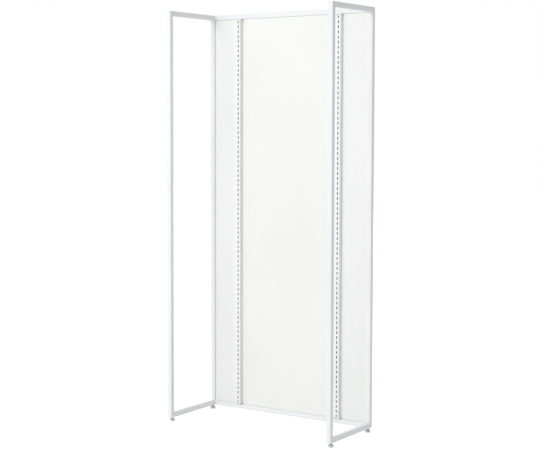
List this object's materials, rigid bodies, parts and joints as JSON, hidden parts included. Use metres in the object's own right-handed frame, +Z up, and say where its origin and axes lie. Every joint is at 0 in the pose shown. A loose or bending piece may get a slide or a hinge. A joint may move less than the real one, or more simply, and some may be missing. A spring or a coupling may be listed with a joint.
{
  "type": "display partition wall",
  "caption": "Free-standing U-plan display wall: open square-tube side frames, a panelled back with slotted shelf uprights, on levelling feet.",
  "frame": {"origin": "on the floor, under the middle of the wall", "axes": "+X along the width to the right, +Y towards the panelled back, +Z up"},
  "size_m": [0.973, 0.41, 2.1],
  "materials": {
    "frame_paint": "satin white powder coat on steel tube",
    "upright_paint": "satin white powder coat on slotted steel tube",
    "panel_board": "warm white melamine-faced board, smooth matt",
    "zinc_plate": "bright zinc-plated steel",
    "pad_plastic": "light grey moulded plastic",
    "cap_plastic": "white moulded plastic"
  },
  "bodies": {
    "wall": {"left_front_post": "frame_paint", "left_rear_post": "frame_paint", "right_front_post": "frame_paint", "right_rear_post": "frame_paint", "left_top_rail": "frame_paint", "left_bottom_rail": "frame_paint", "right_top_rail": "frame_paint", "right_bottom_rail": "frame_paint", "back_top_rail": "frame_paint", "back_bottom_rail": "frame_paint", "top_left_corner_bracket": "zinc_plate", "top_left_rail_screw": "zinc_plate", "top_left_post_screw": "zinc_plate", "top_right_corner_bracket": "zinc_plate", "top_right_rail_screw": "zinc_plate", "top_right_post_screw": "zinc_plate", "bottom_left_corner_bracket": "zinc_plate", "bottom_left_rail_screw": "zinc_plate", "bottom_left_post_screw": "zinc_plate", "bottom_right_corner_bracket": "zinc_plate", "bottom_right_rail_screw": "zinc_plate", "bottom_right_post_screw": "zinc_plate", "lower_cross_rail": "frame_paint", "lower_cross_rail_left_screw": "zinc_plate", "lower_cross_rail_right_screw": "zinc_plate", "middle_cross_rail": "frame_paint", "middle_cross_rail_left_screw": "zinc_plate", "middle_cross_rail_right_screw": "zinc_plate", "upper_cross_rail": "frame_paint", "upper_cross_rail_left_screw": "zinc_plate", "upper_cross_rail_right_screw": "zinc_plate", "back_panel": "panel_board", "left_upright": "upright_paint", "left_upright_top_cap": "cap_plastic", "left_upright_bottom_cap": "cap_plastic", "left_upright_lower_bolt": "zinc_plate", "left_upright_middle_bolt": "zinc_plate", "left_upright_upper_bolt": "zinc_plate", "right_upright": "upright_paint", "right_upright_top_cap": "cap_plastic", "right_upright_bottom_cap": "cap_plastic", "right_upright_lower_bolt": "zinc_plate", "right_upright_middle_bolt": "zinc_plate", "right_upright_upper_bolt": "zinc_plate", "left_front_foot_insert": "zinc_plate", "left_rear_foot_insert": "zinc_plate", "right_front_foot_insert": "zinc_plate", "right_rear_foot_insert": "zinc_plate"},
    "left_front_foot_pad": {"left_front_foot_pad": "pad_plastic"},
    "left_front_foot_stem": {"left_front_foot_stem": "zinc_plate"},
    "left_rear_foot_pad": {"left_rear_foot_pad": "pad_plastic"},
    "left_rear_foot_stem": {"left_rear_foot_stem": "zinc_plate"},
    "right_front_foot_pad": {"right_front_foot_pad": "pad_plastic"},
    "right_front_foot_stem": {"right_front_foot_stem": "zinc_plate"},
    "right_rear_foot_pad": {"right_rear_foot_pad": "pad_plastic"},
    "right_rear_foot_stem": {"right_rear_foot_stem": "zinc_plate"}
  },
  "joints": [
    {"name": "left_front_foot_height", "type": "slide", "parent": "wall", "child": "left_front_foot_pad", "axis": [0, 0, -1], "range_m": [0, 0.012]},
    {"name": "left_front_foot_turn", "type": "hinge", "parent": "left_front_foot_pad", "child": "left_front_foot_stem", "pos_m": [-0.4725, -0.181, 0.0165], "axis": [0, 0, -1], "range_deg": [0, 3456]},
    {"name": "left_rear_foot_height", "type": "slide", "parent": "wall", "child": "left_rear_foot_pad", "axis": [0, 0, -1], "range_m": [0, 0.012]},
    {"name": "left_rear_foot_turn", "type": "hinge", "parent": "left_rear_foot_pad", "child": "left_rear_foot_stem", "pos_m": [-0.4725, 0.181, 0.0165], "axis": [0, 0, -1], "range_deg": [0, 3456]},
    {"name": "right_front_foot_height", "type": "slide", "parent": "wall", "child": "right_front_foot_pad", "axis": [0, 0, -1], "range_m": [0, 0.012]},
    {"name": "right_front_foot_turn", "type": "hinge", "parent": "right_front_foot_pad", "child": "right_front_foot_stem", "pos_m": [0.4725, -0.181, 0.0165], "axis": [0, 0, -1], "range_deg": [0, 3456]},
    {"name": "right_rear_foot_height", "type": "slide", "parent": "wall", "child": "right_rear_foot_pad", "axis": [0, 0, -1], "range_m": [0, 0.012]},
    {"name": "right_rear_foot_turn", "type": "hinge", "parent": "right_rear_foot_pad", "child": "right_rear_foot_stem", "pos_m": [0.4725, 0.181, 0.0165], "axis": [0, 0, -1], "range_deg": [0, 3456]}
  ],
  "couplings": [
    {"joint": "left_front_foot_turn", "follows": "left_front_foot_height", "rad_per_m": 5026.5},
    {"joint": "left_rear_foot_turn", "follows": "left_rear_foot_height", "rad_per_m": 5026.5},
    {"joint": "right_front_foot_turn", "follows": "right_front_foot_height", "rad_per_m": 5026.5},
    {"joint": "right_rear_foot_turn", "follows": "right_rear_foot_height", "rad_per_m": 5026.5}
  ]
}
